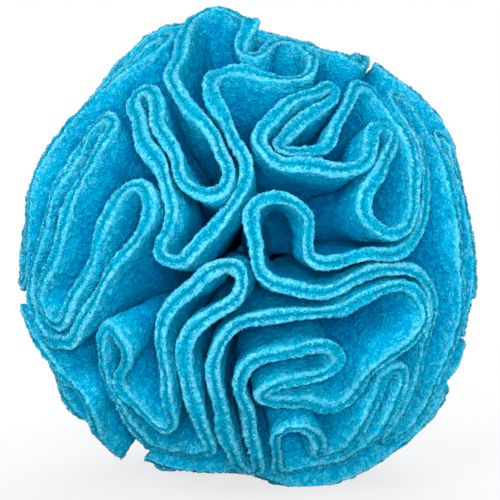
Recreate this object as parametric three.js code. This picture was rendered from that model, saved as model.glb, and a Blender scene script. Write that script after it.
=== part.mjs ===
// A snuffle ball for a dog: rounds of plush fleece gathered at their middles and tied together,
// so that their edges stand out all round as one ball of ruffles with pockets for treats.
// Millimetres, +Z up, the ball's face towards -Y. The origin is under the middle, on the floor.

import * as THREE from 'three';
import { ParametricGeometry } from 'three/addons/geometries/ParametricGeometry.js';
import { mergeVertices } from 'three/addons/utils/BufferGeometryUtils.js';

const BALL_RADIUS = 75; // from the tie to the cut edge of a plain fold
const FLEECE = 4; // thickness of the plush fleece at its cut edge
const TIE_RADIUS = 16; // the gathered middles end here, pressed together in the tie
const FLAT_DROP = 70.5; // the flat spot lies this far below the middle of the ball
const FACE_TILT = THREE.MathUtils.degToRad(9); // the face looks this far above level
const BEND_STEP = THREE.MathUtils.degToRad(36); // most that the edge turns between two sections
const PLAIN_STEP = 11; // longest step between two sections of a plain run
const UNROLL = 0.9; // a face table is as seen up to this share of the radius, and unrolled past it

const FLEECE_BLUE = 0x1b98bf;
const FLEECE_ROUGHNESS = 0.95;

// Each row below is one fold of a round's edge, in order along it. The edge runs straight over the
// ball from fold to fold. bend is the radius of the fold: above 0 the edge turns left round it,
// below 0 right. rise is how far the edge stands out past the ball there, or below it if negative.

// Rounds on the face. across and up are the middle of the fold as seen from the front.
const FACE_COLUMNS = ['across', 'up', 'bend', 'rise'];
const FACE_ROUNDS = {
  crest: [
    [-9, 71, 9.5, 1],
    [-14.8, 53.5, 9.5, 0],
    [-13.2, 22, -7.2, 1],
    [-18.4, 41.5, -9.4, 0],
    [-31.6, 46.5, 3.5, 0],
    [-30.9, 12, -7.9, 1],
    [-23.3, -1.2, 4.7, 1],
    [-12, 22, 11.3, 1],
    [-4.4, 50, -9.5, 0],
    [10.5, 58.5, 9.5, 0],
    [12.5, 67, 6, -4],
    [1.5, 64.5, -4, -2],
  ],
  left_wing: [
    [-43.2, 38.4, -5, 0],
    [-60, -15.8, 7.6, 0],
    [-35.6, 13.2, -6.3, 0],
    [-57.5, -20.5, -7.5, 0],
    [-65, -21.5, -8.3, -1],
  ],
  left_scroll: [
    [-42.3, -27, -4.8, 1],
    [-41.5, -30.5, -5.8, 0],
    [-34.8, -41.5, 6.3, 0],
    [-27.7, -50, 5.2, 0],
    [-10, -25.6, -16.2, 1],
    [-7.6, -8.6, -5.7, 1],
    [-10.4, -27.7, 9.4, 1],
    [-18.5, -59, -7, 0],
    [-28.3, -64.6, -4.5, -2],
  ],
  lower_scroll: [
    [1.9, -32.1, -13.5, 1],
    [23.6, 2.8, 20.5, 1],
    [44.1, -20, -9.3, 1],
    [43.5, -39, 10.5, 0],
    [27.1, -44.8, -6.8, 0],
    [16.5, -51.4, 4, 0],
    [6.9, -45, -4.2, 0],
    [21.4, -34.6, 5.3, 0],
    [6.9, -39, 10, 0],
    [0.4, -69.3, -2.8, 0],
  ],
  lower_loop: [
    [14.8, -58, -6.2, 0],
    [26.1, -61.4, 4.5, 0],
    [43.5, -39, -4.2, 0],
    [26, -61.4, -10, 1],
    [13, -68, -4, 0],
  ],
  ring: [
    [8.8, 7.6, 9.1, 1],
    [14.5, 2.2, 14.2, 1],
    [23.6, 2.8, 14.2, 0],
    [44.1, -20, -15.3, 0],
    [46.6, -54, 5.5, 2],
    [72.5, 10, -20, 0],
    [49, 46, 5.5, -1],
    [39.7, 28.3, -19.5, 0],
    [42.5, 13.9, -14.8, 0],
    [20.8, 0, -3.8, 1],
  ],
  right_scroll: [
    [10.4, 32.4, 8.2, 1],
    [28.5, 33, 9.5, 1],
    [41, 33.7, -4.2, 0],
    [42.5, 13.9, 8.8, 0],
    [39.7, 28.3, 13.5, 0],
    [36.8, 47.5, 4, 0],
    [19.5, 38.4, -8, -3],
    [10.8, 33, -2.6, -5],
    [25.8, 50, 2.6, -1],
  ],
};

// Rounds between the face and the back. clock is in degrees anticlockwise from the right as seen
// from the front, and out is degrees from the middle of the face.
const SIDE_COLUMNS = ['clock', 'out', 'bend', 'rise'];
const SIDE_ROUNDS = {
  left_edge: [
    [116, 74, 6.5, -1],
    [176, 84, -4, -2],
    [111, 88, 5, -1],
    [177, 96, -4, -1],
    [113, 101.5, 4.5, 0],
    [183, 101.5, 4.5, 0],
    [184, 80, 4.5, -1],
  ],
  left_foot: [
    [197, 85, 4, -1],
    [227, 87, -4, 0],
    [198, 98, 7, 0],
    [232, 96, 4.5, 2],
    [234, 86, 4.5, 2],
    [221, 68, 4.5, 0],
  ],
  right_foot: [
    [248, 84, 4.5, 0],
    [322, 93, -4, 3],
    [250, 98, 4, 1],
    [295, 113, -15, 2],
    [332, 101, 4.5, 0],
    [332, 88, 4.5, 1],
    [313, 74, -11.5, 3],
  ],
  right_edge: [
    [346, 101, 4.5, -1],
    [51, 106, 4.5, -1],
    [353, 96, -4, -1],
    [50, 89, 6.5, -2],
    [352, 78, -4, -1],
    [29, 73, 4.2, -1],
    [343, 76, 5, -1],
  ],
  top_edge: [
    [62, 67, 4.5, -1],
    [64, 104, 5, -3],
    [78, 90, -4, -5],
    [86, 93.5, 5, -5],
    [99, 93, 4.5, -1],
    [79, 66, -13, -4],
  ],
};

// A direction from the middle of the ball, in a frame whose face looks along -Y.
function directionAt(clock, out) {
  return new THREE.Vector3(
    Math.sin(out) * Math.cos(clock),
    -Math.cos(out),
    Math.sin(out) * Math.sin(clock),
  );
}

function named(columns, row) {
  return Object.fromEntries(columns.map((column, i) => [column, row[i]]));
}

function faceFold(row) {
  const fold = named(FACE_COLUMNS, row);
  const share = Math.hypot(fold.across, fold.up) / BALL_RADIUS;
  const slope = 1 / Math.sqrt(1 - UNROLL ** 2);
  const out = share < UNROLL ? Math.asin(share) : Math.asin(UNROLL) + slope * (share - UNROLL);
  return { ...fold, middle: directionAt(Math.atan2(fold.up, fold.across), out) };
}

function sideFold(row) {
  const fold = named(SIDE_COLUMNS, row);
  const { degToRad } = THREE.MathUtils;
  return { ...fold, middle: directionAt(degToRad(fold.clock), degToRad(fold.out)) };
}

// The great circle that leaves one fold and meets the next, as its pole on the left of the edge.
function runBetween(from, to) {
  const a = Math.sin(from.bend / BALL_RADIUS);
  const b = Math.sin(to.bend / BALL_RADIUS);
  const cosine = from.middle.dot(to.middle);
  const spread = 1 - cosine ** 2;
  const alpha = (a - b * cosine) / spread;
  const beta = (b - a * cosine) / spread;
  const rest = 1 - (alpha * a + beta * b);
  if (rest < 0) throw new Error(`folds too near at ${JSON.stringify([from, to])}`);
  const across = new THREE.Vector3().crossVectors(from.middle, to.middle);
  return new THREE.Vector3()
    .addScaledVector(from.middle, alpha)
    .addScaledVector(to.middle, beta)
    .addScaledVector(across, Math.sqrt(rest / spread));
}

// Where a fold and a run touch.
function touchPoint(fold, pole) {
  return fold.middle.clone().addScaledVector(pole, -fold.middle.dot(pole)).normalize();
}

// The sections of a round's edge: a direction from the tie, the left side there, and the rise.
function edgeSections(folds) {
  const runs = folds.map((fold, i) => runBetween(fold, folds[(i + 1) % folds.length]));
  const sections = [];
  folds.forEach((fold, i) => {
    const before = runs[(i + runs.length - 1) % runs.length];
    const start = touchPoint(fold, before);
    const end = touchPoint(fold, runs[i]);
    const turn = Math.sign(fold.bend);
    const flat = (p) => p.clone().projectOnPlane(fold.middle).normalize();
    const [first, last] = [flat(start), flat(end)];
    const sine = turn * fold.middle.dot(first.clone().cross(last));
    const angle = (Math.atan2(sine, first.dot(last)) + 2 * Math.PI) % (2 * Math.PI);
    const bendSteps = Math.max(1, Math.ceil(angle / BEND_STEP));
    for (let k = 0; k <= bendSteps; k += 1) {
      const direction = start.clone().applyAxisAngle(fold.middle, (turn * angle * k) / bendSteps);
      const ahead = fold.middle.clone().cross(direction).multiplyScalar(turn).normalize();
      sections.push({ direction, left: direction.clone().cross(ahead), rise: fold.rise });
    }
    const next = folds[(i + 1) % folds.length];
    const length = end.angleTo(touchPoint(next, runs[i]));
    const plainSteps = Math.ceil((length * BALL_RADIUS) / PLAIN_STEP);
    for (let k = 1; k < plainSteps; k += 1) {
      const share = k / plainSteps;
      const direction = end.clone().applyAxisAngle(runs[i], length * share);
      const rise = THREE.MathUtils.lerp(fold.rise, next.rise, THREE.MathUtils.smoothstep(share, 0, 1));
      sections.push({ direction, left: runs[i].clone(), rise });
    }
  });
  return sections;
}

// The four corners of a section, going round it: the cut edge's two sides, then the gathered end's.
function sectionCorners({ direction, left, rise }) {
  const half = FLEECE / 2 / BALL_RADIUS;
  const sides = [-1, 1].map((side) =>
    direction.clone().multiplyScalar(Math.cos(half)).addScaledVector(left, side * Math.sin(half)),
  );
  const cut = sides.map((side) => {
    const floor = side.z < 0 ? FLAT_DROP / -side.z : Infinity;
    return side.clone().multiplyScalar(Math.min(BALL_RADIUS + rise, floor));
  });
  const gathered = sides.map((side) => side.clone().multiplyScalar(TIE_RADIUS));
  return [cut[0], cut[1], gathered[1], gathered[0]];
}

// One round of fleece as a closed solid on its folds, turned to its place on the ball.
function roundOfFleece(name, folds, turn) {
  const sections = edgeSections(folds).map(({ direction, left, rise }) => ({
    direction: direction.applyQuaternion(turn),
    left: left.applyQuaternion(turn),
    rise,
  }));
  const corners = sections.map(sectionCorners);
  const shape = new ParametricGeometry(
    (u, v, target) => {
      const section = corners[Math.round(u * corners.length) % corners.length];
      target.copy(section[Math.round(v * section.length) % section.length]);
    },
    corners.length,
    4,
  );
  shape.deleteAttribute('normal');
  shape.deleteAttribute('uv');
  const material = new THREE.MeshStandardMaterial({
    color: FLEECE_BLUE,
    roughness: FLEECE_ROUGHNESS,
    metalness: 0,
  });
  const round = new THREE.Mesh(mergeVertices(shape, 1e-5), material);
  round.name = name;
  return round;
}

const faceTurn = new THREE.Quaternion().setFromAxisAngle(new THREE.Vector3(1, 0, 0), -FACE_TILT);
const backTurn = faceTurn
  .clone()
  .multiply(new THREE.Quaternion().setFromAxisAngle(new THREE.Vector3(0, 0, 1), Math.PI));

const ball = new THREE.Group();
for (const [name, rows] of Object.entries(FACE_ROUNDS)) {
  const folds = rows.map(faceFold);
  ball.add(roundOfFleece(`front_${name}`, folds, faceTurn));
  ball.add(roundOfFleece(`back_${name}`, folds, backTurn));
}
for (const [name, rows] of Object.entries(SIDE_ROUNDS)) {
  ball.add(roundOfFleece(name, rows.map(sideFold), faceTurn));
}

// The origin goes on the floor under the middle of the ball's box.
const box = new THREE.Box3().setFromObject(ball);
const middle = box.getCenter(new THREE.Vector3());
ball.position.set(-middle.x, -middle.y, -box.min.z);

export default ball;
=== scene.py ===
"""A dog's snuffle ball: rounds of plush fleece gathered at their middles and tied into one ball.

Laid out as an add-on and run as a script. Metres, +Z up, the ball's face towards -Y.
"""

import math

import bmesh
import bpy
import numpy as np
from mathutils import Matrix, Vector


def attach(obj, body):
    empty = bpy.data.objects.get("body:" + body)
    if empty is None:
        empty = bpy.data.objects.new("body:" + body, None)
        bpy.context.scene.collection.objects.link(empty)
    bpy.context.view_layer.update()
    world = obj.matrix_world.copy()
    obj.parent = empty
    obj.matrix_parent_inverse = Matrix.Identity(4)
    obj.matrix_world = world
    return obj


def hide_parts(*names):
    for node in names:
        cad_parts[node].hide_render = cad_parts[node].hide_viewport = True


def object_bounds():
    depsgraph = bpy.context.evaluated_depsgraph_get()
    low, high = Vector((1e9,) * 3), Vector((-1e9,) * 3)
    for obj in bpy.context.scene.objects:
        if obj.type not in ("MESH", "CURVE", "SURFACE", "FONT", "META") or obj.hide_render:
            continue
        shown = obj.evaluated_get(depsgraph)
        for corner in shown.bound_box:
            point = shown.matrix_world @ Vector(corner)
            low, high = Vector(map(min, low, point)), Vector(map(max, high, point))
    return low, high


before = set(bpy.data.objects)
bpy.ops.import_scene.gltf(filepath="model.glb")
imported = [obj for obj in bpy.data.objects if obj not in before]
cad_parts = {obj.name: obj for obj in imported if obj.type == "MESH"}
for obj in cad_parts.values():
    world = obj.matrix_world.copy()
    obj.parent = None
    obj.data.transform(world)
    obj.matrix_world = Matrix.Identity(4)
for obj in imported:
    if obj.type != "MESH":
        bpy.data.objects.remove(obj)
CAD_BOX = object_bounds()

bl_info = {
    "name": "Snuffle Ball",
    "version": (1, 0, 0),
    "blender": (4, 5, 0),
    "location": "View3D > Sidebar > Snuffle Ball",
    "description": "Builds a dog's snuffle ball from rounds of plush fleece",
    "category": "Object",
}

MM = 0.001
BODY = "root"
SOFT_TURN = 2.8 * MM

# The profile across a round, from the gathered middle up one face to the cut edge.
# across is in half thicknesses, down is the distance below the cut edge in millimetres.
FACE_DOWN = (59, 47, 37, 29, 22.5, 17.5, 13.5, 10.3, 7.8, 5.8, 4.3, 3.1, 2.2)
EDGE_ROWS = (  # across, down
    (-1.0, 1.4),
    (-1.0, 0.85),
    (-0.94, 0.42),
    (-0.8, 0.13),
    (-0.55, 0.0),
    (-0.25, 0.1),
    (0.0, 0.4),
    (0.25, 0.1),
    (0.55, 0.0),
    (0.8, 0.13),
    (0.94, 0.42),
    (1.0, 0.85),
    (1.0, 1.4),
)
# Bumps and hollows in the ball's outline: clock is anticlockwise from the right as seen
# from the front, out is the angle from the ball's face, both in degrees, and spread is
# the bump's half width on that scale.
OUTLINE = (  # clock, out, spread, height in millimetres
    (79, 95, 8, -6.5),
    (78, 113, 9, -5.0),
    (89, 90, 5, -3.0),
    (97, 88, 3.5, 3.0),
    (105, 93, 4, -2.0),
    (60, 90, 10, -2.6),
    (42, 80, 14, -1.5),
    (30, 88, 6, 1.5),
    (6, 88, 11, -4.5),
    (10, 75, 9, -1.8),
    (-30, 88, 5, -2.7),
    (-31, 81, 6, -1.5),
    (-50, 86, 10, 2.0),
    (-72, 84, 10, 1.5),
    (-96, 79, 9, -5.5),
    (-92, 71, 5, -1.5),
    (-121, 88, 4, -5.0),
    (-139, 88, 5, 2.5),
    (-148, 85, 5, -1.5),
    (-155, 88, 6, -1.4),
    (172, 88, 20, -2.8),
    (135, 93, 10, -8.5),
    (139, 107, 8, -1.2),
    (118, 93, 8, 2.5),
    (60, 178, 50, 1.5),
    (-100, 150, 30, -1.5),
    (150, 140, 25, 2.0),
)


class FleeceSettings(bpy.types.PropertyGroup):
    """Sizes and colours of the fleece, among them the colours of its painted shade and painted highlights.
    """

    half_thickness: bpy.props.FloatProperty(
        name="Half thickness",
        description="From the knitted ground to the tips of the pile on one face",
        default=2.45 * MM,
        unit="LENGTH",
    )
    clearance: bpy.props.FloatProperty(
        name="Clearance",
        description="Half of the gap kept between two rounds that press together",
        default=0.12 * MM,
        unit="LENGTH",
    )
    column_step: bpy.props.FloatProperty(
        name="Column step",
        description="Distance between two columns of the sheet along the cut edge",
        default=0.95 * MM,
        unit="LENGTH",
    )
    nap: bpy.props.FloatProperty(
        name="Nap",
        description="How far the clumps of pile stand out of a face",
        default=0.4 * MM,
        unit="LENGTH",
    )
    raggedness: bpy.props.FloatProperty(
        name="Raggedness",
        description="How unevenly the edge is cut",
        default=0.46 * MM,
        unit="LENGTH",
    )
    wander: bpy.props.FloatProperty(
        name="Wander",
        description="How far the folds bend sideways between the tie and the cut edge",
        default=2.6 * MM,
        unit="LENGTH",
    )
    slant: bpy.props.FloatProperty(
        name="Slant",
        description="How steeply the cut edge leans to one side or the other along its way",
        default=0.32,
        min=0.0,
        max=1.0,
    )
    lift: bpy.props.FloatProperty(
        name="Lift",
        description="How far a round's edge stands out past its neighbours, or below them, along its way",
        default=1.7 * MM,
        unit="LENGTH",
    )
    lip_locks: bpy.props.FloatProperty(
        name="Locks on the lips",
        description="Locks of pile for each millimetre of cut edge, on its two lips",
        default=8.5,
        min=0.0,
    )
    cut_locks: bpy.props.FloatProperty(
        name="Locks in the cut",
        description="Locks of pile for each millimetre of cut edge, between its two lips",
        default=8.5,
        min=0.0,
    )
    lock_length: bpy.props.FloatProperty(
        name="Lock length",
        description="Length of the longest locks of pile at the cut edge",
        default=0.95 * MM,
        unit="LENGTH",
    )
    # Painted shade: the darkest colour of the pile, painted down between the clumps and deep in the folds.
    painted_shade_colour: bpy.props.FloatVectorProperty(
        name="Between the clumps",
        description="Colour down between the clumps of pile",
        subtype="COLOR",
        default=(0.0, 0.2, 0.61),
        min=0.0,
        max=1.0,
    )
    face_colour: bpy.props.FloatVectorProperty(
        name="Face",
        description="Colour of the pile on the faces",
        subtype="COLOR",
        default=(0.0, 0.33, 0.6),
        min=0.0,
        max=1.0,
    )
    # Partly painted light: the pale colour that the raised clumps, the lips and the rims are painted
    # towards.
    light_colour: bpy.props.FloatVectorProperty(
        name="Clumps",
        description="Colour of the clumps of pile that stand up",
        subtype="COLOR",
        default=(0.0, 0.475, 0.72),
        min=0.0,
        max=1.0,
    )
    # Painted highlight: the palest colour, at the top of both ramps, where the pile is painted as catching
    # the light.
    painted_highlight_colour: bpy.props.FloatVectorProperty(
        name="Pile tips",
        description="Colour of the tips of the pile",
        subtype="COLOR",
        default=(0.15, 0.63, 0.81),
        min=0.0,
        max=1.0,
    )
    cut_colour: bpy.props.FloatVectorProperty(
        name="Cut edge",
        description="Colour of the cut pile between the two faces",
        subtype="COLOR",
        default=(0.0, 0.37, 0.58),
        min=0.0,
        max=1.0,
    )
    ground_colour: bpy.props.FloatVectorProperty(
        name="Ground",
        description="Colour of the knitted ground in the middle of the cut edge",
        subtype="COLOR",
        default=(0.0, 0.15, 0.27),
        min=0.0,
        max=1.0,
    )


class StudioSettings(bpy.types.PropertyGroup):
    """The floor and the camera."""

    floor_colour: bpy.props.FloatVectorProperty(
        name="Floor",
        description="Colour of the floor",
        subtype="COLOR",
        default=(0.55, 0.55, 0.55),
        min=0.0,
        max=1.0,
    )
    elevation: bpy.props.FloatProperty(
        name="Elevation",
        description="How far above level the camera stands",
        default=math.radians(9),
        subtype="ANGLE",
    )
    distance: bpy.props.FloatProperty(
        name="Distance",
        description="From the middle of the ball to the camera",
        default=1.2,
        unit="LENGTH",
    )
    view_width: bpy.props.FloatProperty(
        name="View width",
        description="Width of the view at the middle of the ball",
        default=157.3 * MM,
        unit="LENGTH",
    )


# ---------------------------------------------------------------- the solids' cut edges


def welded(node):
    """A copy of a CAD solid with its loose triangles joined."""
    solid = bmesh.new()
    solid.from_mesh(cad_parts[node].data)
    bmesh.ops.remove_doubles(solid, verts=solid.verts, dist=1e-6)
    return solid


def tie_point():
    """The middle of the sphere that the gathered ends of all the rounds lie on."""
    low, high = CAD_BOX
    middle = (low + high) / 2
    near = (high - low).length / 6
    ends = [
        vertex.co
        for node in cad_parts.values()
        for vertex in node.data.vertices
        if (vertex.co - middle).length < near
    ]
    points = np.array(ends, float)
    terms = np.hstack([2 * points, np.ones((len(points), 1))])
    solved = np.linalg.lstsq(terms, (points**2).sum(1), rcond=None)[0]
    return solved[:3], math.sqrt(solved[3] + solved[:3] @ solved[:3])


def cut_edge(node, tie, tie_radius):
    """The sections round a solid's cut edge, in order: directions from the tie, and radii."""
    solid = welded(node)
    middle = Vector(tie)
    cut = {v for v in solid.verts if (v.co - middle).length > 2 * tie_radius}
    faces = {f for f in solid.faces if all(v in cut for v in f.verts)}
    rails, rungs = {}, {}
    for edge in {e for f in faces for e in f.edges}:
        a, b = edge.verts
        lone = sum(f in faces for f in edge.link_faces) == 1
        table = rails if lone else rungs
        table.setdefault(a, []).append(b)
        table.setdefault(b, []).append(a)
    start = min(cut, key=lambda v: tuple(v.co))
    rail = [start, rails[start][0]]
    while True:
        ahead = next(v for v in rails[rail[-1]] if v is not rail[-2])
        if ahead is start:
            break
        rail.append(ahead)

    def opening(a, b):
        return (a.co - middle).angle(b.co - middle)

    far = [min(rungs[v], key=lambda other: opening(v, other)) for v in rail]
    near_side = np.array([v.co - middle for v in rail], float)
    far_side = np.array([v.co - middle for v in far], float)
    solid.free()
    radii = np.maximum(np.linalg.norm(near_side, axis=1), np.linalg.norm(far_side, axis=1))
    return unit(unit(near_side) + unit(far_side)), radii


def unit(vectors):
    return vectors / np.linalg.norm(vectors, axis=-1, keepdims=True)


def turned(values, ends, at):
    """A closed smooth curve through values, whose places are ends[:-1] and which closes at ends[-1]."""
    total = ends[-1]
    places = ends[:-1]
    count = len(places)
    at = at % total
    i = np.searchsorted(places, at, side="right") - 1

    def knot(k):
        return places[k % count] + total * (k // count)

    t0, t1, t2, t3 = knot(i - 1), knot(i), knot(i + 1), knot(i + 2)
    v0, v1, v2, v3 = (values[k % count] for k in (i - 1, i, i + 1, i + 2))
    shape = (-1,) + (1,) * (values.ndim - 1)
    t0, t1, t2, t3 = (t.reshape(shape) for t in (t0, t1, t2, t3))
    s = (at.reshape(shape) - t1) / (t2 - t1)
    m1 = (v2 - v0) / (t2 - t0) * (t2 - t1)
    m2 = (v3 - v1) / (t3 - t1) * (t2 - t1)
    return (
        (2 * s**3 - 3 * s**2 + 1) * v1
        + (s**3 - 2 * s**2 + s) * m1
        + (3 * s**2 - 2 * s**3) * v2
        + (s**3 - s**2) * m2
    )


def fine_edge(node, tie, tie_radius, step):
    """A round's cut edge at even steps: direction from the tie, left side, radius, place along it."""
    directions, radii = cut_edge(node, tie, tie_radius)
    radius = float(np.median(radii))
    gaps = np.linalg.norm(np.roll(directions, -1, axis=0) - directions, axis=1) * radius
    ends = np.concatenate([[0.0], np.cumsum(gaps)])
    count = int(round(ends[-1] / step))
    along = np.arange(count) * ends[-1] / count
    way = unit(softened(turned(directions, ends, along), SOFT_TURN / step))
    reach = softened(turned(radii, ends, along), SOFT_TURN / step)
    ahead = unit(np.roll(way, -1, axis=0) - np.roll(way, 1, axis=0))
    return {
        "way": way,
        "left": unit(np.cross(way, ahead)),
        "radius": reach,
        "along": along,
        "length": ends[-1],
        "bend": bend_of(way, radius),
    }


def bend_of(way, radius):
    """Curvature of the edge over the ball, positive where it turns left, per metre."""
    before, after = way - np.roll(way, 1, axis=0), np.roll(way, -1, axis=0) - way
    step = np.linalg.norm(after, axis=1)
    turn = (np.cross(before, after) * way).sum(1) / np.maximum(step**2, 1e-12)
    angle = np.arcsin(np.clip(turn, -1, 1))
    return softened(angle / np.maximum(step * radius, 1e-9), 2.0)


def softened(values, sigma):
    """A closed list smoothed by a bell curve, whose width is given in steps."""
    reach = int(3 * sigma) + 1
    steps = np.arange(-reach, reach + 1)
    weights = np.exp(-0.5 * (steps / sigma) ** 2)
    shares = weights / weights.sum()
    return sum(share * np.roll(values, k, axis=0) for share, k in zip(shares, steps))


def room_beside(edges, radius, half, clearance):
    """Gives each edge the half thicknesses that its neighbours leave it on the left and the right."""
    places = np.concatenate([e["way"] for e in edges.values()]) * radius
    owners = np.concatenate([np.full(len(e["way"]), k) for k, e in enumerate(edges.values())])
    alongs = np.concatenate([e["along"] for e in edges.values()])
    for k, edge in enumerate(edges.values()):
        here = edge["way"] * radius
        apart = places[None, :, :] - here[:, None, :]
        distance = np.linalg.norm(apart, axis=2)
        sideways = (apart * edge["left"][:, None, :]).sum(2) / np.maximum(distance, 1e-9)
        run = np.abs(alongs[None, :] - edge["along"][:, None])
        run = np.minimum(run, edge["length"] - run)
        same = (owners[None, :] == k) & (run < 2.2 * distance + 5 * MM)
        distance = np.where(same, 1.0, distance)
        for side, name in ((1, "half_left"), (-1, "half_right")):
            gap = np.where(sideways * side > 0.45, distance, 1.0).min(1)
            room = np.minimum(half, gap / 2 - clearance)
            inside = np.maximum(edge["bend"] * side, 1e-6)
            room = np.minimum(room, 0.72 / inside)
            low = np.minimum.reduce([np.roll(room, j) for j in (-1, 0, 1)])
            width = 0.9 + 0.1 * np.clip(ripple(here, 33 * MM, 60 + 2 * k + side), -1, 1)
            edge[name] = softened(np.maximum(low * width, 0.45 * half), 1.0)


# ---------------------------------------------------------------- the fleece


def ripple(points, size, seed, waves=26):
    """A smooth random value at each point, mostly between -1 and 1, that changes over that size."""
    rng = np.random.default_rng(seed)
    ways = unit(rng.normal(size=(waves, 3))) * rng.uniform(0.7, 1.35, (waves, 1))
    phases = rng.uniform(0, 2 * math.pi, waves)
    total = np.zeros(points.shape[:-1])
    for way, phase in zip(ways, phases):
        total += np.sin(points @ way * (2 * math.pi / size) + phase)
    return total / math.sqrt(2 * waves)


def outline_height(outward):
    """How far the ball's outline stands out or in, for each direction from the tie."""
    total = np.zeros(outward.shape[:-1])
    for clock, out, spread, height in OUTLINE:
        c, o = math.radians(clock), math.radians(out)
        peak = (math.sin(o) * math.cos(c), -math.cos(o), math.sin(o) * math.sin(c))
        angle = np.arccos(np.clip(outward @ np.array(peak), -1, 1))
        total += height * MM * np.exp(-0.5 * (angle / math.radians(spread)) ** 2)
    return total


def bent_aside(points, tie, radius, wander):
    """Moves points by smooth fields that all the rounds share, so that no two of them cross."""
    outward = unit(points - tie)
    reach = np.linalg.norm(points - tie, axis=-1) / radius
    long_share = np.sin(np.clip(reach, 0, 1) ** 1.5 * math.pi) + 0.3 * np.clip(reach, 0, 1)
    long_waves = np.stack([ripple(points, 62 * MM, seed) for seed in (11, 12, 13)], axis=-1)
    short_waves = np.stack([ripple(points, 21 * MM, seed) for seed in (21, 22, 23)], axis=-1)
    field = long_waves * (wander * long_share)[..., None] + short_waves * (0.45 * wander * reach)[..., None]
    field -= (field * outward).sum(-1, keepdims=True) * outward * 0.7
    height = outline_height(outward) + 0.9 * MM * ripple(points, 38 * MM, 31)
    return points + field + outward * (height * np.clip(reach, 0, 1) ** 3)[..., None]


def grid_normals(grid):
    """Normals of a closed grid of points, columns by rows."""
    along = np.roll(grid, -1, axis=0) - np.roll(grid, 1, axis=0)
    across = np.roll(grid, -1, axis=1) - np.roll(grid, 1, axis=1)
    return unit(np.cross(along, across) + 1e-15)


def profile():
    """The rows of the profile: across, down in metres, from one gathered end to the other."""
    rise = [(-1.0, down) for down in FACE_DOWN]
    rows = rise + list(EDGE_ROWS) + [(-across, down) for across, down in reversed(rise)]
    return np.array([r[0] for r in rows]), np.array([r[1] for r in rows]) * MM


def sheet_grid(edge, tie, tie_radius, radius, fleece, seed):
    """The surface of a round of fleece as a closed grid of points, and the cloth's own coordinates."""
    across, down = profile()
    way, left = edge["way"][:, None, :], edge["left"][:, None, :]
    half = np.where(across > 0, edge["half_left"][:, None], edge["half_right"][:, None])
    depth = down * (edge["radius"][:, None] - tie_radius) / (FACE_DOWN[0] * MM)
    lip = 1 + 0.05 * np.exp(-(((down - 1.2 * MM) / (1.6 * MM)) ** 2))
    angle = across * half * lip / radius
    reach = edge["radius"][:, None] - depth
    places = edge["way"][:, None, :] * radius
    lean = fleece.slant * ripple(places, 44 * MM, seed + 7) * np.exp(-down / (4 * MM))
    reach = reach + lean * across * half
    grid = (way * np.cos(angle)[..., None] + left * np.sin(angle)[..., None]) * reach[..., None]
    grid = bent_aside(grid + tie, tie, radius, fleece.wander)
    edge_share = np.exp(-down / (1.5 * MM))
    face_share = np.clip(reach / radius, 0.2, 1) * (1 - 0.3 * edge_share)
    clumps = 0.62 * ripple(grid, 3.4 * MM, seed + 1) + 0.55 * ripple(grid, 2.1 * MM, seed + 2)
    folds = ripple(grid, 17 * MM, seed + 3)
    normals = facing_out(grid, tie)
    out = unit(grid - tie)
    cut = 0.55 * ripple(grid, 7 * MM, seed + 4) + 0.75 * ripple(grid, 2.6 * MM, seed + 5)
    height = fleece.nap * clumps * face_share - fleece.nap * 0.45
    grid = grid + normals * height[..., None]
    grid = grid + out * (fleece.raggedness * cut * edge_share)[..., None]
    grid = grid + left * (0.35 * MM * folds * (reach / radius) * (1 - edge_share))[..., None]
    grid[..., 2] = np.maximum(grid[..., 2], 0.15 * MM)
    line = 0.16 * half * ripple(places, 22 * MM, seed + 6)
    over = np.where(np.abs(across) < 1, across * half - line, np.sign(across) * (half + down))
    return grid, over


def sheet_faces(columns, rows):
    """Quads of a grid that closes both ways, and the four corners' columns and rows."""
    i, j = np.meshgrid(np.arange(columns), np.arange(rows), indexing="ij")
    i, j = i.ravel(), j.ravel()
    corner_i = np.stack([i, i + 1, i + 1, i], axis=1)
    corner_j = np.stack([j, j, j + 1, j + 1], axis=1)
    quads = (corner_i % columns) * rows + corner_j % rows
    return quads, corner_i, corner_j % rows


def lock_places(edge, grid, tie, fleece, seed):
    """Where the locks of pile stand along a cut edge: roots, leans, lengths, widths, columns and rows."""
    rng = np.random.default_rng(seed)
    columns, rows = grid.shape[:2]
    across, down = profile()
    lips = np.flatnonzero((np.abs(across) >= 0.8) & (down < 3 * MM))
    cut = np.flatnonzero(np.abs(across) < 0.8)
    length = edge["length"] / MM
    lip_count, cut_count = int(length * fleece.lip_locks), int(length * fleece.cut_locks)
    row = np.concatenate([rng.choice(lips, lip_count), rng.choice(cut, cut_count)])
    on_lip = np.arange(len(row)) < lip_count
    column = rng.integers(0, columns, len(row))
    share, rise = rng.random((2, len(row), 1))
    beside, higher = (column + 1) % columns, (row + 1) % rows
    here = grid[column, row] * (1 - share) + grid[beside, row] * share
    above = grid[column, higher] * (1 - share) + grid[beside, higher] * share
    roots = here * (1 - rise) + above * rise
    normals = facing_out(grid, tie)[column, row]
    out = unit(roots - tie)
    side = edge["left"][column] * rng.normal(size=(len(row), 1))
    loose = rng.normal(size=(len(row), 3))
    lip_lean = normals * 0.7 + out * 0.45 + loose * 0.5
    cut_lean = out * 0.9 + side * 0.2 + loose * 0.45
    lean = unit(np.where(on_lip[:, None], lip_lean, cut_lean))
    size = np.where(on_lip, 0.85, 0.6) * fleece.lock_length
    length = size * rng.uniform(0.35, 1.0, len(row))
    width = rng.uniform(0.12, 0.22, len(row)) * MM
    return roots, lean, length, width, column, row


def facing_out(grid, tie):
    """Normals of a round's grid, turned so that they point out of the cloth."""
    normals = grid_normals(grid)
    middle = grid.shape[1] // 2
    facing = (normals[:, middle] * unit(grid[:, middle] - tie)).sum()
    return normals if facing > 0 else -normals


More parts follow.
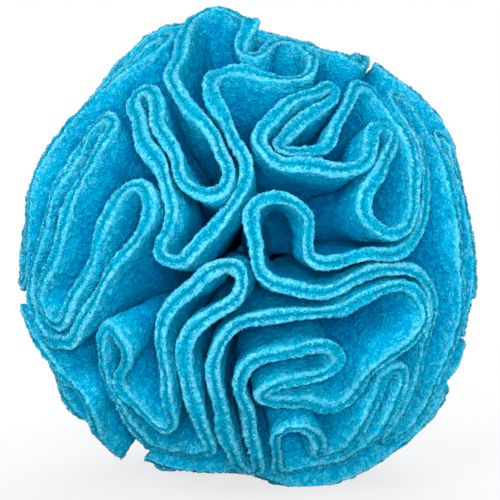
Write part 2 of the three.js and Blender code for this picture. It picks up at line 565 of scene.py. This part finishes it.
def lock_mesh(roots, lean, length, width):
    """A closed three-sided spike at each root, as points and triangles."""
    helper = np.where(np.abs(lean[:, 2:]) < 0.9, [[0.0, 0.0, 1.0]], [[1.0, 0.0, 0.0]])
    u = unit(np.cross(lean, helper))
    v = np.cross(lean, u)
    base = roots - lean * 0.2 * MM
    corners = []
    for k in range(3):
        a = 2 * math.pi * k / 3
        corners.append(base + (u * math.cos(a) + v * math.sin(a)) * width[:, None])
    tips = roots + lean * length[:, None]
    points = np.stack([*corners, tips], axis=1).reshape(-1, 3)
    points[:, 2] = np.maximum(points[:, 2], 0.12 * MM)
    first = np.arange(len(roots))[:, None] * 4
    sides = np.array([[0, 1, 3], [1, 2, 3], [2, 0, 3], [2, 1, 0]])
    return points, (first[:, None, :] + sides[None, :, :]).reshape(-1, 3)


def signed_volume(points, faces):
    a, b, c = (points[faces[:, k]] for k in (0, 1, 2))
    return float((a * np.cross(b, c)).sum() / 6)


def round_of_fleece(node, edge, tie, tie_radius, radius, fleece, seed):
    """One round of fleece as a mesh object in its place."""
    grid, over = sheet_grid(edge, tie, tie_radius, radius, fleece, seed)
    columns, rows = grid.shape[:2]
    quads, corner_i, corner_j = sheet_faces(columns, rows)
    points = grid.reshape(-1, 3)
    along = np.append(edge["along"], edge["length"])
    over_corners = over[corner_i % columns, corner_j]
    along_corners = along[corner_i]
    if signed_volume(points - points.mean(0), np.concatenate([quads[:, :3], quads[:, [0, 2, 3]]])) < 0:
        quads, over_corners, along_corners = (x[:, ::-1] for x in (quads, over_corners, along_corners))
    roots, lean, length, width, column, row = lock_places(edge, grid, tie, fleece, seed + 9)
    spikes, triangles = lock_mesh(roots, lean, length, width)
    mesh = bpy.data.meshes.new(f"fleece_{node}")
    corner_points = np.concatenate([quads.ravel(), triangles.ravel() + len(points)])
    counts = np.concatenate([np.full(len(quads), 4), np.full(len(triangles), 3)])
    mesh.vertices.add(len(points) + len(spikes))
    mesh.vertices.foreach_set("co", np.concatenate([points, spikes]).astype(np.float32).ravel())
    mesh.loops.add(len(corner_points))
    mesh.loops.foreach_set("vertex_index", corner_points.astype(np.int32))
    mesh.polygons.add(len(counts))
    starts = np.concatenate([[0], np.cumsum(counts)[:-1]])
    mesh.polygons.foreach_set("loop_start", starts.astype(np.int32))
    mesh.update(calc_edges=True)
    cloth = mesh.uv_layers.new(name="cloth")
    u = np.concatenate([along_corners.ravel(), np.repeat(edge["along"][column], 12)])
    v = np.concatenate([over_corners.ravel(), np.repeat(over[column, row], 12)])
    cloth.data.foreach_set("uv", np.stack([u, v], axis=1).astype(np.float32).ravel())
    # The tip attribute marks the locks' tips, which the material paints with a painted highlight.
    tip = mesh.attributes.new("tip", "FLOAT", "POINT")
    lit = np.tile([0.0, 0.0, 0.0, 1.0], len(roots))
    tip.data.foreach_set("value", np.concatenate([np.zeros(len(points)), lit]).astype(np.float32))
    mesh.shade_smooth()
    mesh.validate()
    piece = bpy.data.objects.new(f"fleece_{node}", mesh)
    bpy.context.scene.collection.objects.link(piece)
    return piece


EDGES = {}


def all_edges(fleece):
    """The cut edges of all the rounds, worked out once, with the room beside them."""
    if EDGES:
        return EDGES
    tie, tie_radius = tie_point()
    for node in sorted(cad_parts):
        EDGES[node] = edge = fine_edge(node, tie, tie_radius, fleece.column_step)
        places = edge["way"] * edge["radius"][:, None]
        edge["radius"] += fleece.lift * ripple(places, 58 * MM, 40 + len(EDGES))
    radius = float(np.median(np.concatenate([e["radius"] for e in EDGES.values()])))
    room_beside(EDGES, radius, fleece.half_thickness, fleece.clearance)
    EDGES["ball"] = {"tie": tie, "tie_radius": tie_radius, "radius": radius}
    return EDGES


def make_rounds(context, belongs):
    """Makes the rounds whose node names pass the test, and tells the frame about them."""
    fleece = context.scene.snuffle_fleece
    edges = all_edges(fleece)
    ball = edges["ball"]
    nodes = [n for n in sorted(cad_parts) if belongs(n)]
    if not nodes:
        raise RuntimeError("the frame holds no such rounds")
    material = bpy.data.materials.get("plush_fleece") or plush_fleece(fleece)
    for node in nodes:
        edge = edges[node]
        seed = 100 * sorted(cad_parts).index(node)
        piece = round_of_fleece(node, edge, ball["tie"], ball["tie_radius"], ball["radius"], fleece, seed)
        piece.data.materials.append(material)
        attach(piece, BODY)
        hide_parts(node)


def tied_knot(fleece):
    """The lump of gathered middles inside the tie, which shuts the last chinks through the ball."""
    tie, tie_radius = tie_point()
    bpy.ops.object.select_all(action="DESELECT")
    bpy.ops.mesh.primitive_ico_sphere_add(subdivisions=5, radius=tie_radius, location=tie)
    bpy.ops.object.transform_apply(location=True, rotation=False, scale=False)
    knot = bpy.context.object
    knot.name = "tied_knot"
    mesh = knot.data
    points = np.empty(len(mesh.vertices) * 3)
    mesh.vertices.foreach_get("co", points)
    points = points.reshape(-1, 3)
    out = unit(points - tie)
    folds = np.abs(ripple(out * tie_radius, 9 * MM, 71))
    height = 0.86 * tie_radius + 1.6 * MM * folds + fleece.nap * ripple(points, 2.4 * MM, 72)
    mesh.vertices.foreach_set("co", (out * height[:, None] + tie).astype(np.float32).ravel())
    mesh.uv_layers.remove(mesh.uv_layers[0])
    cloth = mesh.uv_layers.new(name="cloth")
    # The knot lies at the gathered end of the profile, so the material paints it with the full painted
    # shade of the folds.
    below = np.tile([0.0, FACE_DOWN[0] * MM], len(mesh.loops))
    cloth.data.foreach_set("uv", below.astype(np.float32))
    mesh.attributes.new("tip", "FLOAT", "POINT")
    mesh.shade_smooth()
    mesh.update()
    return knot


# ---------------------------------------------------------------- materials


def socket(group, name, way, kind, default=None):
    made = group.interface.new_socket(name=name, in_out=way, socket_type=kind)
    if default is not None:
        made.default_value = default
    return made


class Nodes:
    """A node tree that is written one node to a line."""

    def __init__(self, tree):
        self.tree = tree

    def add(self, kind, inputs=None, **settings):
        node = self.tree.nodes.new(kind)
        for name, value in settings.items():
            setattr(node, name, value)
        for key, value in (inputs or {}).items():
            if isinstance(value, bpy.types.NodeSocket):
                self.tree.links.new(value, node.inputs[key])
            else:
                node.inputs[key].default_value = value
        return node

    def maths(self, operation, *values, clamp=False):
        inputs = dict(enumerate(values))
        return self.add("ShaderNodeMath", inputs, operation=operation, use_clamp=clamp).outputs[0]

    def noise(self, vector, scale, detail=2.0, roughness=0.5, distortion=0.0):
        inputs = {"Vector": vector, "Scale": scale, "Detail": detail}
        inputs |= {"Roughness": roughness, "Distortion": distortion}
        return self.add("ShaderNodeTexNoise", inputs).outputs["Fac"]

    def flat_noise(self, vector, detail=2.0, roughness=0.5, distortion=0.0):
        inputs = {"Vector": vector, "Scale": 1.0, "Detail": detail}
        inputs |= {"Roughness": roughness, "Distortion": distortion}
        return self.add("ShaderNodeTexNoise", inputs, noise_dimensions="2D").outputs["Fac"]

    def ramp(self, value, *stops):
        """A smooth run of colours, each given as its place and its colour."""
        node = self.add("ShaderNodeValToRGB", {"Fac": value})
        elements = node.color_ramp.elements
        for place, colour in stops[1:-1]:
            elements.new(place)
        for element, (place, colour) in zip(elements, stops):
            element.position = place
            element.color = (*colour, 1.0)
        return node.outputs["Color"]

    def band(self, value, low, high):
        """0 below low, 1 above high, smooth between them."""
        inputs = {"Value": value, "From Min": low, "From Max": high}
        return self.add("ShaderNodeMapRange", inputs, interpolation_type="SMOOTHSTEP").outputs[0]

    def mix(self, share, first, second):
        node = self.add("ShaderNodeMix", {"Factor": share}, data_type="RGBA")
        for key, value in ((6, first), (7, second)):
            if isinstance(value, bpy.types.NodeSocket):
                self.tree.links.new(value, node.inputs[key])
            else:
                node.inputs[key].default_value = value
        return node.outputs[2]


def pile_group():
    """The pile of plush fleece: clumps and curls of locks, their fine grain, and short cut streaks."""
    group = bpy.data.node_groups.new("pile", "ShaderNodeTree")
    socket(group, "Cloth", "INPUT", "NodeSocketVector")
    for name in ("Grain", "Curls", "Clumps", "Streaks"):
        socket(group, name, "OUTPUT", "NodeSocketFloat")
    n = Nodes(group)
    cloth = n.add("NodeGroupInput").outputs["Cloth"]
    place = n.add("ShaderNodeTexCoord").outputs["Object"]
    combed = n.add("ShaderNodeMapping", {"Vector": cloth, "Scale": (1800.0, 560.0, 1.0)}).outputs[0]
    outputs = {
        "Grain": n.band(n.noise(place, 1900.0, detail=1.0, roughness=0.5), 0.34, 0.66),
        "Curls": n.band(n.noise(place, 920.0, detail=1.5, roughness=0.5, distortion=1.1), 0.36, 0.64),
        "Clumps": n.band(n.noise(place, 390.0, detail=1.0, roughness=0.5, distortion=0.8), 0.36, 0.64),
        "Streaks": n.band(n.flat_noise(combed, detail=1.5, roughness=0.6, distortion=0.9), 0.36, 0.66),
    }
    n.add("NodeGroupOutput", outputs)
    return group


def with_alpha(colour):
    return (*colour, 1.0)


def plush_fleece(fleece):
    """Double-faced plush fleece: mottled curly pile with painted light and shade on its relief, lips
    painted pale as a painted sheen, painted light near the cut edge, painted shade deep in the folds,
    painted highlights and glints, and the ground along the cut edge.
    """
    material = bpy.data.materials.new("plush_fleece")
    material.use_nodes = True
    tree = material.node_tree
    tree.nodes.clear()
    n = Nodes(tree)
    cloth = n.add("ShaderNodeUVMap", uv_map="cloth").outputs["UV"]
    place = n.add("ShaderNodeTexCoord").outputs["Object"]
    tip = n.add("ShaderNodeAttribute", attribute_name="tip").outputs["Fac"]
    pile = n.add("ShaderNodeGroup", {"Cloth": cloth}, node_tree=pile_group())
    grain, curls, clumps, streaks = (pile.outputs[k] for k in ("Grain", "Curls", "Clumps", "Streaks"))
    down = n.maths("ABSOLUTE", n.add("ShaderNodeSeparateXYZ", {"Vector": cloth}).outputs["Y"])
    patches = n.noise(place, 85.0, detail=1.0)
    ragged = n.maths("MULTIPLY_ADD", curls, 0.7 * MM, down)
    ragged = n.maths("MULTIPLY_ADD", patches, 1.2 * MM, ragged)
    cut = n.maths("SUBTRACT", 1.0, n.band(ragged, 1.75 * MM, 2.4 * MM))
    # Painted sheen: the two lips of the cut edge are painted paler, more in some patches than in others,
    # where the pile would show a sheen as it turns away.
    lip = n.maths("SUBTRACT", 1.0, n.band(ragged, 2.9 * MM, 4.2 * MM))
    # Painted light: the faces are painted lighter within a few millimetres of the cut edge, where the rims
    # catch the light.
    near = n.maths("SUBTRACT", 1.0, n.band(ragged, 3.5 * MM, 11.0 * MM))
    # Painted shade: the faces are painted darker and bluer from 5 mm to 28 mm below the cut edge, deep in
    # the folds where shade falls.
    painted_fold_shade = n.band(down, 5 * MM, 28 * MM)

    # The mottling follows the bump's relief: raised clumps and curls are painted lighter and the hollows
    # between them darker. This is partly the pile's random tone and partly painted light and shade.
    light = n.maths("MULTIPLY_ADD", clumps, 0.24, n.maths("MULTIPLY", curls, 0.32))
    light = n.maths("MULTIPLY_ADD", streaks, 0.1, light)
    light = n.maths("MULTIPLY_ADD", grain, 0.1, light)
    light = n.maths("MULTIPLY", light, n.maths("MULTIPLY_ADD", lip, -0.35, 1.0))
    light = n.maths("MULTIPLY_ADD", lip, n.maths("MULTIPLY_ADD", patches, 0.5, 0.1), light)
    light = n.maths("MULTIPLY_ADD", near, 0.24, light)
    light = n.maths("MULTIPLY_ADD", painted_fold_shade, -0.24, light)
    # Painted highlight: the tips of the locks are painted lighter.
    light = n.maths("MULTIPLY_ADD", tip, 0.07, light)
    face = n.ramp(
        light,
        (0.0, fleece.painted_shade_colour),
        (0.3, fleece.face_colour),
        (0.62, fleece.light_colour),
        (1.0, fleece.painted_highlight_colour),
    )
    # The cut stripe: the knitted ground shows at the low end of its ramp, and its brightest specks are
    # painted glints of light.
    glint = n.maths("MULTIPLY_ADD", grain, 0.34, n.maths("MULTIPLY", streaks, 0.42))
    glint = n.maths("MULTIPLY_ADD", curls, 0.16, glint)
    glint = n.maths("MULTIPLY_ADD", tip, 0.12, glint)
    stripe = n.ramp(
        glint,
        (0.0, fleece.ground_colour),
        (0.38, fleece.cut_colour),
        (0.76, fleece.light_colour),
        (1.0, fleece.painted_highlight_colour),
    )
    colour = n.mix(cut, face, stripe)
    line = n.maths("SUBTRACT", 1.0, n.band(down, 0.1 * MM, 0.45 * MM))
    line = n.maths("MULTIPLY", line, n.band(patches, 0.3, 0.5))
    line = n.maths("MULTIPLY", line, n.maths("MULTIPLY_ADD", grain, 0.5, 0.35))
    colour = n.mix(line, colour, with_alpha(fleece.ground_colour))

    relief = n.maths("MULTIPLY_ADD", clumps, 0.5, n.maths("MULTIPLY", curls, 0.5))
    relief = n.maths("MULTIPLY_ADD", grain, 0.3, relief)
    bump = n.add("ShaderNodeBump", {"Strength": 1.0, "Distance": 1.0 * MM, "Height": relief})
    shader = n.add(
        "ShaderNodeBsdfPrincipled",
        {
            "Base Color": colour,
            "Roughness": 1.0,
            "Diffuse Roughness": 1.0,
            "Specular IOR Level": 0.0,
            "Sheen Weight": 0.12,
            "Sheen Roughness": 0.5,
            "Sheen Tint": (0.0, 0.7, 1.0, 1.0),
            "Normal": bump.outputs["Normal"],
        },
    )
    n.add("ShaderNodeOutputMaterial", {"Surface": shader.outputs[0]})
    return material


def studio_white(name, colour, camera_share):
    """A matt white that a camera ray sees a little lighter, so that it still takes a shadow."""
    material = bpy.data.materials.new(name)
    material.use_nodes = True
    tree = material.node_tree
    tree.nodes.clear()
    n = Nodes(tree)
    matt = n.add("ShaderNodeBsdfDiffuse", {"Color": with_alpha(colour)})
    glow = n.add("ShaderNodeEmission", {"Color": (1, 1, 1, 1), "Strength": 1.0})
    path = n.add("ShaderNodeLightPath")
    seen = n.maths("MAXIMUM", path.outputs["Is Camera Ray"], path.outputs["Is Glossy Ray"])
    seen = n.maths("MAXIMUM", seen, path.outputs["Is Transmission Ray"])
    place = n.add("ShaderNodeTexCoord").outputs["Object"]
    away = n.add("ShaderNodeVectorMath", {0: place}, operation="LENGTH").outputs["Value"]
    reach = {"Value": away, "From Min": 0.1, "From Max": 0.6, "To Min": camera_share}
    far = n.add("ShaderNodeMapRange", reach)
    share = n.maths("MULTIPLY", seen, far.outputs[0])
    both = n.add("ShaderNodeMixShader", {0: share, 1: matt.outputs[0], 2: glow.outputs[0]})
    n.add("ShaderNodeOutputMaterial", {"Surface": both.outputs[0]})
    return material


# ---------------------------------------------------------------- the studio


def add_lamp(name, place, target, size, power):
    data = bpy.data.lights.new(name, "AREA")
    data.shape = "DISK"
    data.size = size
    data.energy = power
    lamp = bpy.data.objects.new(name, data)
    lamp.location = place
    lamp.rotation_euler = (target - Vector(place)).to_track_quat("-Z", "Y").to_euler()
    bpy.context.scene.collection.objects.link(lamp)
    return lamp


def add_camera(studio, target):
    data = bpy.data.cameras.new("camera")
    data.sensor_width = 36.0
    data.lens = data.sensor_width * studio.distance / studio.view_width
    data.clip_end = 20.0
    camera = bpy.data.objects.new("camera", data)
    tilt = studio.elevation
    camera.location = target + Vector((0, -math.cos(tilt), math.sin(tilt))) * studio.distance
    camera.rotation_euler = (target - camera.location).to_track_quat("-Z", "Y").to_euler()
    bpy.context.scene.collection.objects.link(camera)
    bpy.context.scene.camera = camera


def add_world():
    world = bpy.data.worlds.new("studio")
    bpy.context.scene.world = world
    world.use_nodes = True
    tree = world.node_tree
    tree.nodes.clear()
    n = Nodes(tree)
    path = n.add("ShaderNodeLightPath")
    seen = n.maths("MAXIMUM", path.outputs["Is Camera Ray"], path.outputs["Is Glossy Ray"])
    seen = n.maths("MAXIMUM", seen, path.outputs["Is Transmission Ray"])
    soft = n.add("ShaderNodeBackground", {"Color": (0.93, 0.97, 1.0, 1.0), "Strength": 0.88})
    white = n.add("ShaderNodeBackground", {"Color": (1.0, 1.0, 1.0, 1.0), "Strength": 1.0})
    both = n.add("ShaderNodeMixShader", {0: seen, 1: soft.outputs[0], 2: white.outputs[0]})
    n.add("ShaderNodeOutputWorld", {"Surface": both.outputs[0]})


# ---------------------------------------------------------------- operators


class SNUFFLE_OT_front_rounds(bpy.types.Operator):
    """Makes the rounds of fleece on the ball's face"""

    bl_idname = "snuffle.front_rounds"
    bl_label = "Front rounds"

    def execute(self, context):
        make_rounds(context, lambda node: node.startswith("front_"))
        return {"FINISHED"}


class SNUFFLE_OT_back_rounds(bpy.types.Operator):
    """Makes the rounds of fleece on the ball's back"""

    bl_idname = "snuffle.back_rounds"
    bl_label = "Back rounds"

    def execute(self, context):
        make_rounds(context, lambda node: node.startswith("back_"))
        return {"FINISHED"}


class SNUFFLE_OT_side_rounds(bpy.types.Operator):
    """Makes the rounds of fleece between the ball's face and its back"""

    bl_idname = "snuffle.side_rounds"
    bl_label = "Side rounds"

    def execute(self, context):
        make_rounds(context, lambda node: not node.startswith(("front_", "back_")))
        return {"FINISHED"}


class SNUFFLE_OT_knot(bpy.types.Operator):
    """Makes the knot of gathered middles in the tie"""

    bl_idname = "snuffle.knot"
    bl_label = "Tied knot"

    def execute(self, context):
        fleece = context.scene.snuffle_fleece
        knot = tied_knot(fleece)
        knot.data.materials.append(bpy.data.materials.get("plush_fleece") or plush_fleece(fleece))
        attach(knot, BODY)
        return {"FINISHED"}


class SNUFFLE_OT_studio(bpy.types.Operator):
    """Adds the floor, the lamps and the camera"""

    bl_idname = "snuffle.studio"
    bl_label = "Studio"

    def execute(self, context):
        studio = context.scene.snuffle_studio
        tie, _ = tie_point()
        bpy.ops.object.select_all(action="DESELECT")
        bpy.ops.mesh.primitive_plane_add(size=12.0, location=(0, 0, 0))
        floor = context.object
        floor.name = "floor"
        floor.data.materials.append(studio_white("studio_floor", studio.floor_colour, 0.76))
        middle = Vector(tie)
        add_lamp("key", middle + Vector((-0.4, -1.1, 0.9)), middle, 0.7, 8.6)
        add_lamp("front", middle + Vector((0.05, -1.35, 0.25)), middle, 0.35, 10.2)
        add_lamp("back", middle + Vector((0.2, 1.2, 0.7)), middle, 0.9, 20.0)
        add_lamp("left", middle + Vector((-1.3, 0.3, 0.5)), middle, 0.8, 7.0)
        add_lamp("right", middle + Vector((1.3, 0.3, 0.5)), middle, 0.8, 7.0)
        add_camera(studio, middle)
        add_world()
        context.scene.view_settings.view_transform = "Standard"
        return {"FINISHED"}


class SNUFFLE_PT_panel(bpy.types.Panel):
    """Lists what makes up the snuffle ball"""

    bl_idname = "SNUFFLE_PT_panel"
    bl_label = "Snuffle Ball"
    bl_space_type = "VIEW_3D"
    bl_region_type = "UI"
    bl_category = "Snuffle Ball"

    def draw(self, context):
        for settings in (context.scene.snuffle_fleece, context.scene.snuffle_studio):
            box = self.layout.box()
            for name in settings.bl_rna.properties.keys():
                if name not in ("rna_type", "name"):
                    box.prop(settings, name)
        for operator in OPERATORS:
            self.layout.operator(operator.bl_idname)


OPERATORS = (
    SNUFFLE_OT_front_rounds,
    SNUFFLE_OT_back_rounds,
    SNUFFLE_OT_side_rounds,
    SNUFFLE_OT_knot,
    SNUFFLE_OT_studio,
)
CLASSES = (FleeceSettings, StudioSettings, *OPERATORS, SNUFFLE_PT_panel)


def register():
    for cls in CLASSES:
        bpy.utils.register_class(cls)
    bpy.types.Scene.snuffle_fleece = bpy.props.PointerProperty(type=FleeceSettings)
    bpy.types.Scene.snuffle_studio = bpy.props.PointerProperty(type=StudioSettings)


def unregister():
    del bpy.types.Scene.snuffle_studio
    del bpy.types.Scene.snuffle_fleece
    for cls in reversed(CLASSES):
        bpy.utils.unregister_class(cls)


def main():
    register()
    bpy.ops.object.select_all(action="DESELECT")
    bpy.ops.snuffle.front_rounds()
    bpy.ops.snuffle.back_rounds()
    bpy.ops.snuffle.side_rounds()
    bpy.ops.snuffle.knot()
    bpy.ops.snuffle.studio()


if __name__ == "__main__":
    main()
